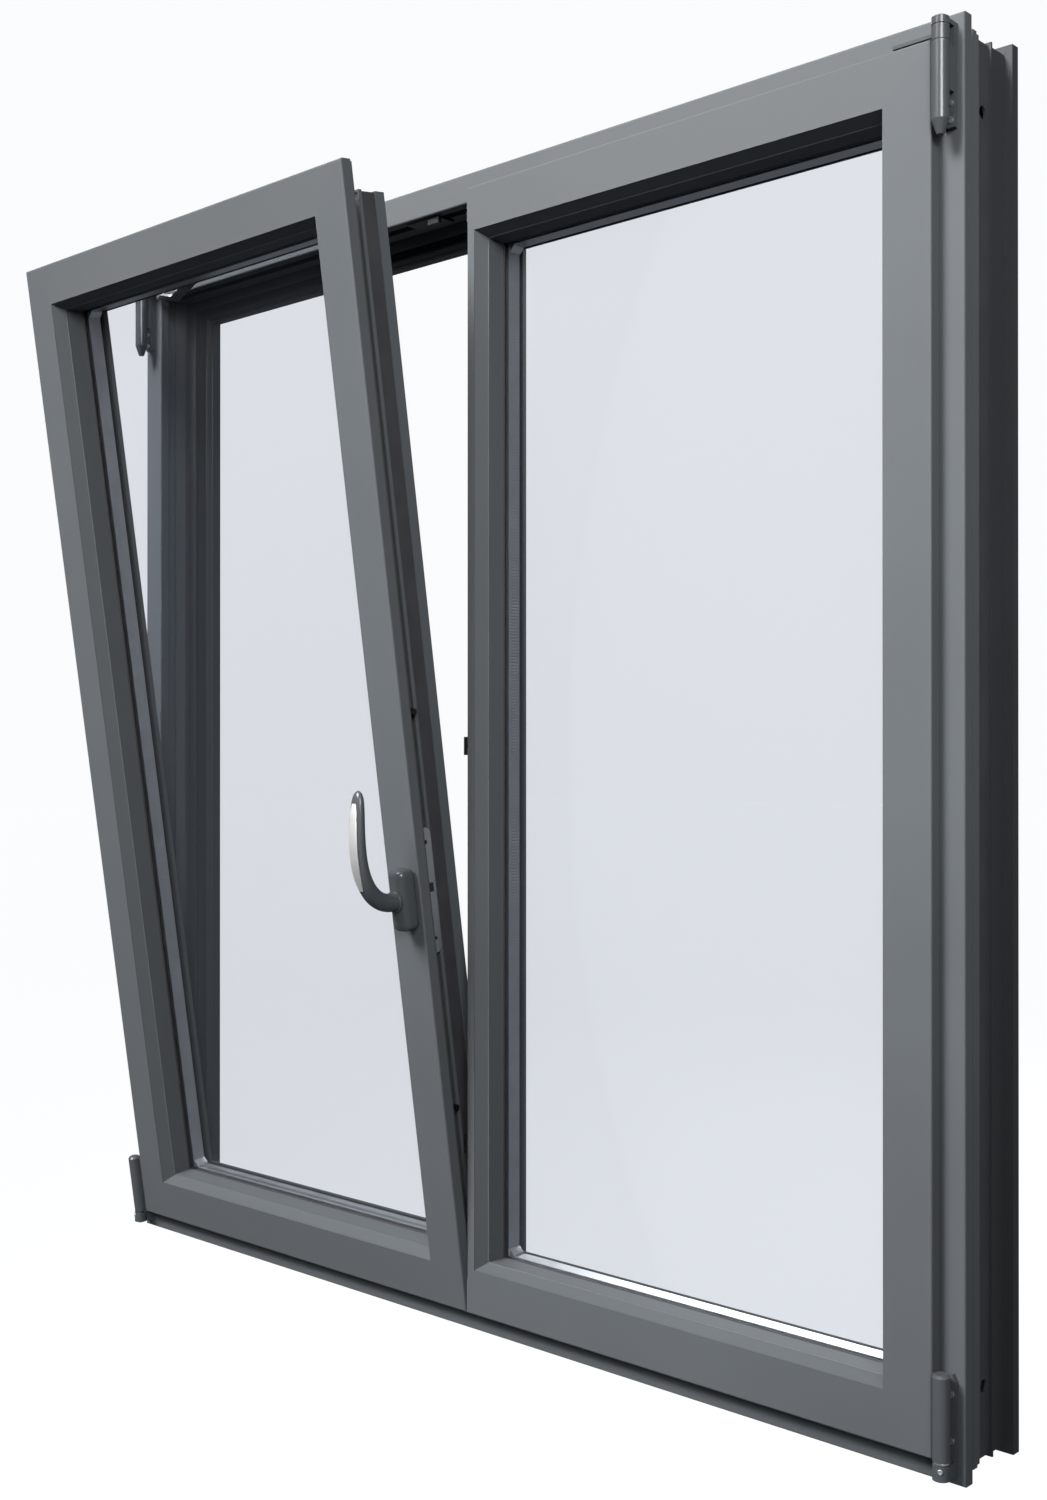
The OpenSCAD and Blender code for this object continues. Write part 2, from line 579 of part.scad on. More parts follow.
// Handle: the housing holds a pinion on the spindle
housing_x0 = seam_x - 2 - housing_w;
module handle_housing() { on_left_leaf() color(paint) difference() {
  translate([handle_x, leaf_y, handle_z]) rotate([90, 0, 0])
    linear_extrude(housing_d) housing_outline();
  translate([handle_x, leaf_y + 1, handle_z]) rotate([90, 0, 0])
    cylinder(h = housing_d + 3, r = neck_r + 0.4);
} }
neck_r = 8.6;
module housing_outline() {
  translate([housing_x0 + housing_w / 2 - handle_x, 0]) hull()
    for (sx = [-1, 1], sz = [-1, 1])
      translate([sx * (housing_w / 2 - 8), sz * (housing_h / 2 - 8)]) circle(8);
}
module on_handle() {
  on_left_leaf() translate([handle_x, leaf_y, handle_z]) rotate([90, 0, 0]) children();
}
// Here +Z points out of the leaf's face and +Y up the lever
bend_r = grip_out - housing_d - 5;
module handle_lever() { on_handle() color(paint) difference() { lever_body(); inlay_shape(); } }
module lever_body() {
  translate([0, 0, 4]) cylinder(h = housing_d + 1 - 4, r = neck_r);
  translate([0, 0, housing_d + 0.6]) cylinder(h = 4.4, r = neck_r + 1);
  translate([0, bend_r, housing_d + 5 - eps]) rotate([90, 0, -90])
    rotate_extrude(angle = 90) translate([bend_r, 0]) circle(neck_r + 0.6);
  hull() {
    translate([0, bend_r - 2, grip_out]) rotate([-90, 0, 0]) cylinder(h = 3, r = neck_r);
    for (s = [-1, 1]) {
      translate([s * (lever_w / 2 - lever_t / 2), lever_len * 0.72, grip_out])
        sphere(lever_t / 2, $fn = 24);
      translate([s * (lever_w / 2 - lever_t / 2 - 1), lever_len - lever_t / 2, grip_out - 6])
        sphere(lever_t / 2 - 1, $fn = 24);
    }
  }
}
module inlay_shape() { hull() {
  translate([0, bend_r, grip_out + neck_r]) cylinder(h = 0.8, r = 4);
  translate([0, lever_len * 0.72, grip_out + lever_t / 2 + 0.15]) cylinder(h = 0.8, r = 4.6);
} }
module handle_inlay() { on_handle() color(silver) inlay_shape(); }
module handle_spindle() { on_handle() color(silver) {
  translate([0, 0, -12]) cylinder(h = 15.9, r = spindle_r);
} }

// Drive rods in the hardware groove
rod_u = overlap + 5.8;
cam_h = 12.5;
module cam() { cylinder(h = cam_h, r = 3.4); }
cam_levels = [220, handle_z + 184];
module side_drive_rod() { on_left_leaf() color(silver) {
  span([seam_x - rod_u - 2.4, groove_y - 6, left_rect[2] + 60],
       [seam_x - rod_u, groove_y + 6, left_rect[3] - 100]);
  for (z = cam_levels)
    translate([seam_x - rod_u - 0.4, groove_y, z]) rotate([0, 90, 0]) cam();
} }
module top_drive_rod() { on_left_leaf() color(silver) {
  z = left_rect[3] - rod_u;
  span([-hinge_x + stay_len + 30, groove_y - 6, z - 2.4], [lock_edge - 45, groove_y + 6, z]);
  translate([top_keep_x - 20, groove_y, z - 0.4]) cam();
} }
module bottom_drive_rod() { on_left_leaf() color(silver) {
  z = left_rect[2] + rod_u;
  span([left_rect[0] + 100, groove_y - 6, z], [lock_edge - 20, groove_y + 6, z + 2.4]);
  translate([top_keep_x + 20, groove_y, z + 0.4 - cam_h]) cam();
} }

// Right leaf: its rails stop at the meeting edge
module clip_meeting() {
  difference() {
    children();
    span([right_rect[0] - 30, leaf_y - 5, -50], [passive_x, 0, body_h + 50]);
    span([right_rect[0] - 30, -1, -50], [passive_edge, leaf_back + 5, body_h + 50]);
  }
}
module right_leaf_bottom_rail() { at_frame() color(paint) clip_meeting()
  bottom_bar(right_rect, leaf_outline, leaf_hollow); }
module right_leaf_top_rail() { at_frame() color(paint_light) clip_meeting()
  top_bar(right_rect, leaf_outline, leaf_hollow); }
module right_leaf_hinge_stile() { at_frame() color(paint)
  right_bar(right_rect, leaf_outline, leaf_hollow); }
module right_leaf_meeting_stile() { at_frame() color(paint)
  left_bar(right_rect, meet_outline); }
module right_leaf_outer_shells() { at_frame() color(paint) {
  left_bar(right_rect, meet_outer_outline, [], [], mitre_gap);
  clip_meeting() {
    bottom_bar(right_rect, leaf_outer_outline, leaf_outer_hollow, [], mitre_gap);
    top_bar(right_rect, leaf_outer_outline, leaf_outer_hollow, [], mitre_gap);
    right_bar(right_rect, leaf_outer_outline, leaf_outer_hollow, [], mitre_gap);
  }
} }
module right_leaf_thermal_breaks() { at_frame() color(nylon) clip_meeting() {
  left_bar(right_rect, box_outline(leaf_inner_back, leaf_outer_front, floor_u - 3.2,
                                   floor_u - 1.2), [], [], mitre_gap);
  left_bar(right_rect, box_outline(leaf_inner_back, leaf_outer_front, meet_body + 1,
                                   meet_body + 3), [], [], mitre_gap);
  for (u = [overlap + 1.2, floor_u - 3.2]) {
    o = box_outline(leaf_inner_back, leaf_outer_front, u, u + 2);
    bottom_bar(right_rect, o, [], [], mitre_gap);
    top_bar(right_rect, o, [], [], mitre_gap);
    right_bar(right_rect, o, [], [], mitre_gap);
  }
} }
module right_leaf_beads() { at_frame() color(paint)
  four_bars(right_rect, bead_outline, bead_hollow); }
module right_leaf_inner_pane() { at_frame() color(glass_tint) pane(right_rect, glass_y); }
module right_leaf_outer_pane() { at_frame() color(glass_tint) pane(right_rect, pane2_y); }
module right_leaf_spacer() { at_frame() color(silver) spacer_bars(right_rect); }
module right_leaf_gaskets() { at_frame() color(black) {
  seal_bars(right_rect);
  clip_meeting() difference() {
    union() {
      bottom_bar(right_rect, overlap_gasket_outline, [], [], mitre_gap);
      top_bar(right_rect, overlap_gasket_outline, [], [], mitre_gap);
      right_bar(right_rect, overlap_gasket_outline, [], [], mitre_gap);
    }
    span([hinge_x - 124, -4, leaf_body_top - 2], [hinge_x + 8, 1, leaf_top + 4]);
  }
} }
module right_leaf_packers() { at_frame() color(nylon) packers(right_rect); }
module right_leaf_barrels() { at_frame() color(paint) translate([hinge_x, hinge_y, 0])
  mirror([1, 0, 0]) {
    leaf_barrel(knuckle_top + 3.2, barrel_h, pin_r + pin_play, 34);
    difference() {
      union() {
        arm_root(leaf_body_top);
        span([32, hinge_out - seal_gap + clear, leaf_body_top],
             [120, hinge_out + groove_y + 7, leaf_body_top + 3]);
      }
      translate([0, 0, ring_low - 1]) cylinder(h = 30, r = pin_r + pin_play);
    }
  } }
// Cover over the joint of the two leaves on the outside, with the active leaf's seal
module meeting_cover() { at_frame() color(paint) {
  z0 = left_rect[2] + overlap + outer_lip + 1;
  span([lock_edge - 10, leaf_back + 2.4, z0 - 12], [passive_edge + 9, leaf_back + 4.6,
       body_h - z0 + 12]);
  span([passive_edge + 0.5, leaf_back, z0 - 12], [passive_edge + 9, leaf_back + 2.5,
       body_h - z0 + 12]);
} }
module meeting_keeps() { at_frame() color(black) {
  for (level = cam_levels) let (z = level - rod_travel)
    difference() {
      span([passive_edge - 9.6, 0.6, z - 9.5], [passive_edge, groove_y - 5.2, z + 9.5]);
      translate([passive_edge - 4, -1, z]) rotate([-90, 0, 0]) cylinder(h = 20, r = 2);
    }
} }

// Passive leaf's shoot bolts, drawn back, each with its thumb piece
bolt_reach = 5;
bolt_end = frame_face + bolt_travel - bolt_reach;
bolt_len = 220;
module shoot_bolt() {
  translate([bolt_x, groove_y, bolt_end]) cylinder(h = bolt_len, r = 2);
  span([passive_edge + 0.6, groove_y - 4, bolt_end + bolt_len - 40],
       [passive_edge + 5.8, groove_y + 4, bolt_end + bolt_len - 8]);
}
module upper_shoot_bolt() { at_frame() color(silver)
  translate([0, 0, body_h]) mirror([0, 0, 1]) shoot_bolt(); }
module lower_shoot_bolt() { at_frame() color(silver) shoot_bolt(); }

sill_inner_shell();
head_inner_shell();
left_jamb_inner_shell();
right_jamb_inner_shell();
frame_outer_shells();
frame_thermal_breaks();
frame_corner_cleats();
frame_gaskets();
drain_caps();
frame_keeps();
left_stay_bearing();
left_corner_bearing();
right_top_bearing();
right_corner_bearing();
bearing_screws();
corner_pivot_pin();
stay_arm();
left_leaf_bottom_rail();
left_leaf_top_rail();
left_leaf_hinge_stile();
left_leaf_lock_stile();
left_leaf_outer_shells();
left_leaf_thermal_breaks();
left_leaf_beads();
left_leaf_inner_pane();
left_leaf_outer_pane();
left_leaf_spacer();
left_leaf_gaskets();
left_leaf_packers();
left_leaf_barrel();
lock_faceplate();
safety_button();
stay_guide();
handle_housing();
handle_lever();
handle_inlay();
handle_spindle();
side_drive_rod();
top_drive_rod();
bottom_drive_rod();
right_leaf_bottom_rail();
right_leaf_top_rail();
right_leaf_hinge_stile();
right_leaf_meeting_stile();
right_leaf_outer_shells();
right_leaf_thermal_breaks();
right_leaf_beads();
right_leaf_inner_pane();
right_leaf_outer_pane();
right_leaf_spacer();
right_leaf_gaskets();
right_leaf_packers();
right_leaf_barrels();
meeting_cover();
meeting_keeps();
upper_shoot_bolt();
lower_shoot_bolt();
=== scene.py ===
"""Looks of the two-leaf tilt-and-turn window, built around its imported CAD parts."""

import json
import math

import bpy
from mathutils import Matrix, Vector


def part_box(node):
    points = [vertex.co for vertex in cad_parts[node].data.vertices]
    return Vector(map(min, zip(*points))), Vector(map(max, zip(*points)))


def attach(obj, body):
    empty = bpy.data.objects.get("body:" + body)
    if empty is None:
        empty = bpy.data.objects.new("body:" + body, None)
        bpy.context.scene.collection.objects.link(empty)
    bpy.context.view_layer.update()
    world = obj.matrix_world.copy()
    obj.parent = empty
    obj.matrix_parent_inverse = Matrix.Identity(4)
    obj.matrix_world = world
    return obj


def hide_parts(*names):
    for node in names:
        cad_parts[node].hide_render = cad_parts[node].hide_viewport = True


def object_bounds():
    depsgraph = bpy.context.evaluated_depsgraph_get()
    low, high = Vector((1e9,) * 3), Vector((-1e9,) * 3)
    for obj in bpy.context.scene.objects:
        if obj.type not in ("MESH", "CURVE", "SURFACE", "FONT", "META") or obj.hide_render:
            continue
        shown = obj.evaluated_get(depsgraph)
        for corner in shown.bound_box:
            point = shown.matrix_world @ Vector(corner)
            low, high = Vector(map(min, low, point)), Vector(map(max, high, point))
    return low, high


MM = 0.001

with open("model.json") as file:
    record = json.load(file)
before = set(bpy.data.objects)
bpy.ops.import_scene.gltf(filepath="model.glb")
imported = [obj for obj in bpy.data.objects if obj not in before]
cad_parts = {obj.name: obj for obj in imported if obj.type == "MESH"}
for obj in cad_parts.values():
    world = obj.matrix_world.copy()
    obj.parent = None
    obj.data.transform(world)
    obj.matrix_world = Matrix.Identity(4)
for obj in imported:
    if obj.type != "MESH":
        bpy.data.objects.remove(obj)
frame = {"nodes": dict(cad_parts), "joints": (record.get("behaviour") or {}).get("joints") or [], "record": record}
cad_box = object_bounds()
nodes = frame["nodes"]
joints = {joint["name"]: joint for joint in frame["joints"]}

# ---------------------------------------------------------------- shader maths


class Val:
    """A shader socket that can be added, multiplied and so on, like a number."""

    def __init__(self, shader, socket):
        self.shader = shader
        self.socket = socket

    def _maths(self, operation, *values):
        return self.shader.node("ShaderNodeMath", {"operation": operation}, values)

    def __add__(self, other):
        return self._maths("ADD", self, other)

    def __sub__(self, other):
        return self._maths("SUBTRACT", self, other)

    def __rsub__(self, other):
        return self._maths("SUBTRACT", other, self)

    def __mul__(self, other):
        return self._maths("MULTIPLY", self, other)

    def __gt__(self, other):
        return self._maths("GREATER_THAN", self, other)

    __radd__ = __add__
    __rmul__ = __mul__


class Shader:
    """A material with one Principled surface, its nodes made by one method."""

    def __init__(self, name, colour, roughness, metallic=0.0, **constants):
        self.material = bpy.data.materials.new(name)
        self.material.use_nodes = True
        self.tree = self.material.node_tree
        self.surface = next(n for n in self.tree.nodes if n.type == "BSDF_PRINCIPLED")
        self.output = next(n for n in self.tree.nodes if n.type == "OUTPUT_MATERIAL")
        self.set("Base Color", (*colour, 1.0))
        self.set("Roughness", roughness)
        self.set("Metallic", metallic)
        for socket, value in constants.items():
            self.set(socket.replace("_", " "), value)

    def node(self, kind, settings=None, values=(), result=0):
        """Makes one node, fills or links its inputs and hands back one of its outputs."""
        made = self.tree.nodes.new(kind)
        for key, value in (settings or {}).items():
            setattr(made, key, value)
        pairs = values.items() if isinstance(values, dict) else enumerate(values)
        for key, value in pairs:
            if isinstance(value, Val):
                self.tree.links.new(value.socket, made.inputs[key])
            else:
                made.inputs[key].default_value = value
        return Val(self, made.outputs[result])

    def set(self, socket, value):
        if isinstance(value, Val):
            self.tree.links.new(value.socket, self.surface.inputs[socket])
        else:
            self.surface.inputs[socket].default_value = value

    def place(self, scale=(1, 1, 1)):
        """Object coordinates, stretched by scale."""
        at = self.node("ShaderNodeTexCoord", result="Object")
        return self.node("ShaderNodeMapping", {}, {"Vector": at, "Scale": scale})

    def noise(self, at, scale, detail=3.0, roughness=0.5):
        values = {"Vector": at, "Scale": scale, "Detail": detail, "Roughness": roughness}
        return self.node("ShaderNodeTexNoise", {}, values, "Fac")

    def axes(self, at):
        across = self.node("ShaderNodeSeparateXYZ", {}, [at])
        return [Val(self, out) for out in across.socket.node.outputs]

    def mix(self, share, dark, light):
        """Goes from one colour to another; sockets 0, 6, 7 and 2 are those of the colour mix."""
        values = {0: share, 6: (*dark, 1.0), 7: (*light, 1.0)}
        return self.node("ShaderNodeMix", {"data_type": "RGBA"}, values, 2)

    def bump(self, height, strength, distance):
        values = {"Strength": strength, "Distance": distance, "Height": height}
        self.set("Normal", self.node("ShaderNodeBump", {}, values, "Normal"))


# ------------------------------------------------------------------- materials


ANTHRACITE = (0.052, 0.057, 0.062)
# Painted light: a lighter copy of the coat for the top members, standing in for the brighter light that falls on
# them from above
LIT_ANTHRACITE = (0.054, 0.058, 0.062)
# Painted shade: a darker copy of the coat for the outer shells, standing in for the shade that their sides and
# back lie in
SHADED_ANTHRACITE = (0.020, 0.022, 0.024)
GLASS_BODY = (0.10, 0.11, 0.12)
GLASS_IOR = 1.5
HOLE_PITCH = 3.2 * MM
HOLE_EDGE = 0.45


def tint(colour, by):
    return tuple(channel * by for channel in colour)


def powder_coat(name, colour, roughness=0.64):
    """Satin powder coat: fine orange peel, faint cloudiness in colour and gloss."""
    coat = Shader(name, colour, roughness, Coat_Weight=0.03, Coat_Roughness=0.35,
                  Specular_IOR_Level=0.25)
    at = coat.place()
    clouds = coat.noise(at, scale=5.0, detail=4.0)
    grains = coat.noise(at, scale=900.0, detail=2.0)
    peel = coat.noise(at, scale=1400.0, detail=3.0, roughness=0.6)
    shade = clouds * 0.75 + grains * 0.25
    coat.set("Base Color", coat.mix(shade, tint(colour, 0.86), tint(colour, 1.16)))
    coat.set("Roughness", roughness - 0.05 + clouds * 0.07 + grains * 0.05)
    coat.bump(peel, strength=0.16, distance=0.05 * MM)
    return coat.material


def satin_metal(name, colour, roughness, grain):
    """Ground or plated metal, with a grain drawn out along the axis of least scale."""
    metal = Shader(name, colour, roughness, metallic=1.0)
    lines = metal.noise(metal.place(grain), scale=1.0, detail=4.0, roughness=0.6)
    stains = metal.noise(metal.place(), scale=35.0)
    metal.set("Base Color", metal.mix(stains, tint(colour, 0.82), tint(colour, 1.08)))
    metal.set("Roughness", roughness - 0.08 + lines * 0.16)
    metal.bump(lines, strength=0.10, distance=0.03 * MM)
    return metal.material


def moulded(name, colour, roughness, texture=1800.0):
    """Moulded plastic or rubber with a matt grain and a little dust."""
    plastic = Shader(name, colour, roughness)
    at = plastic.place()
    dust = plastic.noise(at, scale=40.0, detail=4.0)
    plastic.set("Base Color", plastic.mix(dust, tint(colour, 0.75), tint(colour, 1.35)))
    plastic.set("Roughness", roughness - 0.06 + dust * 0.12)
    plastic.bump(plastic.noise(at, texture, detail=2.0), strength=0.2, distance=0.04 * MM)
    return plastic.material


def perforated_spacer(name, colour, pitch):
    """Rolled spacer bar with small breather holes, one to each pitch."""
    metal = Shader(name, colour, roughness=0.32, metallic=1.0)
    at = metal.place()
    wave = 2 * math.pi / pitch
    across, _, up = metal.axes(at)
    columns = metal.node("ShaderNodeMath", {"operation": "SINE"}, [across * wave])
    rows = metal.node("ShaderNodeMath", {"operation": "SINE"}, [up * wave])
    holes = (columns * rows) > HOLE_EDGE
    stains = metal.noise(at, scale=60.0)
    metal.set("Base Color", metal.mix(stains, tint(colour, 0.85), tint(colour, 1.05)))
    metal.set("Roughness", 0.26 + holes * 0.3 + stains * 0.1)
    metal.bump(1 - holes, strength=0.5, distance=0.2 * MM)
    return metal.material


def float_glass(name, tone):
    """Clear pane: it shines more at a low angle, and a painted shade makes it darker toward the bottom."""
    glass = Shader(name, GLASS_BODY, roughness=0.03, IOR=GLASS_IOR)
    clear = glass.node("ShaderNodeBsdfTransparent", {}, {"Color": (*tone, 1.0)})
    edge = glass.node("ShaderNodeFresnel", {}, {"IOR": GLASS_IOR})
    at = glass.place()
    film = glass.noise(at, scale=3.0)
    _, _, height = glass.axes(at)
    # Painted shade: the share of the dark shine grows toward the bottom, so the pane is darker there
    share = 0.032 + edge * 0.025 + film * 0.004 - height * 0.026
    shine = Val(glass, glass.surface.outputs[0])
    both = glass.node("ShaderNodeMixShader", {}, [share, clear, shine])
    glass.tree.links.new(both.socket, glass.output.inputs["Surface"])
    return glass.material


FINISHES = {
    "paint": powder_coat("anthracite_coat", ANTHRACITE),
    # Painted light: the lighter copy of the coat for the top members
    "paint_lit_top": powder_coat("anthracite_coat_painted_light", LIT_ANTHRACITE),
    "paint_gloss": powder_coat("anthracite_gloss", tint(ANTHRACITE, 0.8), 0.22),
    # Painted shade: the darker copy of the coat for the outer shells
    "paint_shaded_outer": powder_coat("outer_coat_painted_shade", SHADED_ANTHRACITE, 0.5),
    "zinc_dark": satin_metal("black_zinc_plate", (0.055, 0.056, 0.058), 0.42, (30, 400, 400)),
    "nylon": moulded("glass_filled_nylon", (0.022, 0.022, 0.024), 0.55),
    "rubber": moulded("black_rubber", (0.010, 0.010, 0.011), 0.62, 900.0),
    "plastic": moulded("black_plastic", (0.012, 0.012, 0.013), 0.4),
    "zinc": satin_metal("zinc_plate", (0.50, 0.50, 0.48), 0.38, (30, 400, 400)),
    "steel": satin_metal("satin_steel", (0.80, 0.81, 0.83), 0.40, (600, 600, 25)),
    "inlay": satin_metal("satin_inlay", (0.86, 0.86, 0.84), 0.50, (900, 900, 60)),
    "spacer": perforated_spacer("spacer_bar", (0.62, 0.63, 0.65), HOLE_PITCH),
    "glass": float_glass("float_glass", (0.941, 0.949, 0.961)),
}
SLOT_FINISH = {
    "paint_side": "paint",
    # The top slot gets the lighter coat, which is painted light
    "paint_top": "paint_lit_top",
    "break_nylon": "nylon",
    "gasket_rubber": "rubber",
    "zinc": "zinc",
    "steel": "steel",
    "inlay": "inlay",
    "spacer_metal": "spacer",
    "glass": "glass",
    "black_plastic": "plastic",
}
NODE_FINISH = {
    # The outer shells get the darker coat, which is painted shade
    "frame_outer_shells": "paint_shaded_outer",
    "frame_keeps": "zinc_dark",
    "side_drive_rod": "zinc_dark",
    "left_stay_bearing": "paint_gloss",
    "right_top_bearing": "paint_gloss",
    "left_corner_bearing": "paint_gloss",
    "right_corner_bearing": "paint_gloss",
    "left_leaf_barrel": "paint_gloss",
    "right_leaf_barrels": "paint_gloss",
}


def dress(obj, finish):
    obj.data.materials.clear()
    obj.data.materials.append(FINISHES[finish])


def dress_frame():
    for part in frame["record"]["subparts"]:
        node = part["node"]
        finish = NODE_FINISH.get(node, SLOT_FINISH[part["material_slot"]])
        dress(nodes[node], finish)


# --------------------------------------------------------------- mesh building

# A face whose normal's z is over this is flat, or is the flat top of a disc
FLAT = 0.9
FLAT_TOP = 0.99
HAIR = 1e-6
# Rounding of a disc's rims, a share of its height or radius, whichever is less
RIM_ROUND = 0.18
# How far a disc's middle is sunk, a share of its height
SINK = 0.3


def start(primitive, name, **values):
    """Adds one primitive, its place put into its mesh, and opens it with all selected."""
    bpy.ops.object.select_all(action="DESELECT")
    getattr(bpy.ops.mesh, f"primitive_{primitive}_add")(**values)
    obj = bpy.context.object
    obj.name = name
    obj.data.name = name
    bpy.ops.object.transform_apply(location=True, rotation=False, scale=False)
    bpy.ops.object.mode_set(mode="EDIT")
    bpy.ops.mesh.select_all(action="SELECT")
    return obj


def pick(obj, faces=None, edges=None):
    """Selects the faces or the edges whose test is true."""
    bpy.ops.mesh.select_all(action="DESELECT")
    bpy.ops.object.mode_set(mode="OBJECT")
    if faces:
        for face in obj.data.polygons:
            face.select = faces(face)
    if edges:
        points = obj.data.vertices
        for edge in obj.data.edges:
            a, b = (points[i].co for i in edge.vertices)
            edge.select = edges(a, b)
    bpy.ops.object.mode_set(mode="EDIT")


def close(obj, place, body, finish, smooth=35.0):
    """Ends the edit, puts the piece in its place and lets it ride on its body."""
    bpy.ops.mesh.select_all(action="SELECT")
    bpy.ops.mesh.normals_make_consistent(inside=False)
    bpy.ops.object.mode_set(mode="OBJECT")
    bpy.ops.object.select_all(action="DESELECT")
    obj.select_set(True)
    bpy.context.view_layer.objects.active = obj
    obj.matrix_world = place @ obj.matrix_world
    bpy.ops.object.transform_apply(location=True, rotation=True, scale=True)
    bpy.ops.object.shade_smooth_by_angle(angle=math.radians(smooth))
    dress(obj, finish)
    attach(obj, body)


def apply_modifier(obj, kind, **values):
    bpy.ops.object.mode_set(mode="OBJECT")
    modifier = obj.modifiers.new(kind.lower(), kind)
    for key, value in values.items():
        setattr(modifier, key, value)
    bpy.ops.object.modifier_apply(modifier=modifier.name)
    bpy.ops.object.mode_set(mode="EDIT")


def in_metres(rings):
    return [(up * MM, out * MM, lean, w * MM, d * MM) for up, out, lean, w, d in rings]


def sweep(rings):
    """Carries the selected first ring through the rest, each (up, out, lean, width, depth)."""
    up, out, lean, width, depth = rings[0]
    for ring in rings[1:]:
        step = (0, ring[0] - up, ring[1] - out)
        bpy.ops.mesh.extrude_region_move(TRANSFORM_OT_translate={"value": step})
        middle = (0, ring[0], ring[1])
        turn = math.radians(ring[2] - lean)
        bpy.ops.transform.rotate(value=turn, orient_axis="X", center_override=middle)
        grow = (ring[3] / width, ring[4] / depth, ring[4] / depth)
        bpy.ops.transform.resize(value=grow, center_override=middle)
        up, out, lean, width, depth = ring


def add_disc(name, size, middle, sides=48):
    """A disc with rounded rims and a sunk middle. Its size is outer, inner and height in mm."""
    outer, inner, height = (value * MM for value in size)
    disc = start("cylinder", name, vertices=sides, radius=outer, depth=height, location=middle)
    pick(disc, faces=lambda face: abs(face.normal.z) > FLAT)
    bpy.ops.mesh.bevel(offset=min(height, outer) * RIM_ROUND, segments=3)
    top = middle[2] + height / 2 - HAIR
    pick(disc, faces=lambda face: face.normal.z > FLAT_TOP and face.center.z > top)
    bpy.ops.mesh.inset(thickness=(outer - inner) / 2)
    sink = (0, 0, -height * SINK)
    bpy.ops.mesh.extrude_region_move(TRANSFORM_OT_translate={"value": sink})
    return disc


# -------------------------------------------------------------- places on parts


def about(point):
    """Moves to a point of the frame."""
    return Matrix.Translation(point)


def handle_place():
    """The handle's own frame: x across the leaf, y along the raised lever, z out of the leaf."""
    joint = joints["handle_turn"]
    out = Vector(joint["axis"])
    up = out.cross(Vector((1, 0, 0)))
    return about(joint["pos_m"]) @ Matrix((
        (1, 0, 0, 0),
        (0, up.y, out.y, 0),
        (0, up.z, out.z, 0),
        (0, 0, 0, 1),
    ))


HANDLE = handle_place()
LEFT_LEAN = Matrix.Rotation(-math.radians(joints["left_tilt"]["range_deg"][0]), 4, "X")
HINGE_X = abs(joints["left_turn"]["pos_m"][0])
HINGE_Y = joints["left_turn"]["pos_m"][1]
HINGE_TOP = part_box("left_stay_bearing")[1].z
# Middle of the upper knuckles' ring, and the washers' distance from it
RING_MIDDLE = HINGE_TOP - 12.0 * MM
RING_HALF = 6.35 * MM
KNUCKLE_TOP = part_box("right_corner_bearing")[0].z + 16.0 * MM

# ----------------------------------------------------------------------- handle

# Lever stations: height above the axis, distance from the leaf's face, lean, width, depth;
# lengths in mm, the lean in degrees
LEVER_RINGS = [
    (0.0, 12.0, 0, 19.0, 19.0), (0.0, 26.0, 0, 19.0, 19.0), (1.2, 34.5, 12, 19.4, 19.0),
    (5.0, 43.0, 32, 19.6, 18.4), (12.0, 51.0, 52, 19.6, 17.4), (22.0, 57.2, 68, 19.4, 16.0),
    (34.0, 61.0, 79, 19.2, 14.6), (46.0, 62.5, 87, 19.0, 13.6), (59.0, 62.6, 92, 18.8, 13.0),
    (73.0, 61.5, 96, 18.4, 12.6), (87.0, 59.6, 98, 17.8, 12.0), (100.0, 57.4, 100, 16.6, 11.0),
    (108.0, 55.9, 101, 15.0, 9.8),
]
LEVER_TIP = [
    (113.0, 54.9, 101, 11.6, 7.6), (116.2, 54.3, 101, 6.6, 4.4), (117.4, 54.0, 101, 2.0, 1.4),
]
# The inlay starts at this station of the lever and runs over so many gaps between stations
INLAY_START = 5
INLAY_GAPS = 6.6
INLAY_WIDTHS = [5.0, 9.4, 10.8, 11.2, 11.2, 11.0, 10.6, 10.0, 8.6, 4.4]
INLAY_DEPTH = 1.4
INLAY_PROUD = 0.35
INLAY_EDGE = 0.35
# Width, height and depth of the housing, its shift to the side and its roundings, in mm
HOUSING = (23.0, 64.0, 22.0)
HOUSING_ASIDE = 0.3
HOUSING_CORNER = 8
HOUSING_RIM = 2.2
# Outer radius, inner radius and height of the lever's collar, and its distance out, in mm
LEVER_COLLAR = (10.8, 9.2, 3.4)
LEVER_COLLAR_OUT = 23.4


def add_lever():
    rings = in_metres(LEVER_RINGS + LEVER_TIP)
    up, out, _, width, _ = rings[0]
    lever = start("circle", "lever", vertices=24, radius=width / 2, fill_type="NGON",
                  location=(0, up, out))
    sweep(rings)
    apply_modifier(lever, "SUBSURF", levels=2, render_levels=2)
    close(lever, HANDLE, "handle", "paint_gloss", smooth=60)
    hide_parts("handle_lever")


def inlay_rings():
    """Stations on the room side of the lever, from the bend to just under the tip."""
    rings = []
    for i, width in enumerate(INLAY_WIDTHS):
        share = i / (len(INLAY_WIDTHS) - 1) * INLAY_GAPS
        whole = int(share)
        before, after = LEVER_RINGS[INLAY_START + whole:INLAY_START + whole + 2]
        part = share - whole
        up, out, lean, _, depth = (a + (b - a) * part for a, b in zip(before, after))
        lift = depth / 2 - INLAY_DEPTH / 2 + INLAY_PROUD
        up -= math.cos(math.radians(lean)) * lift
        out += math.sin(math.radians(lean)) * lift
        rings.append((up, out, lean, width, INLAY_DEPTH))
    return rings


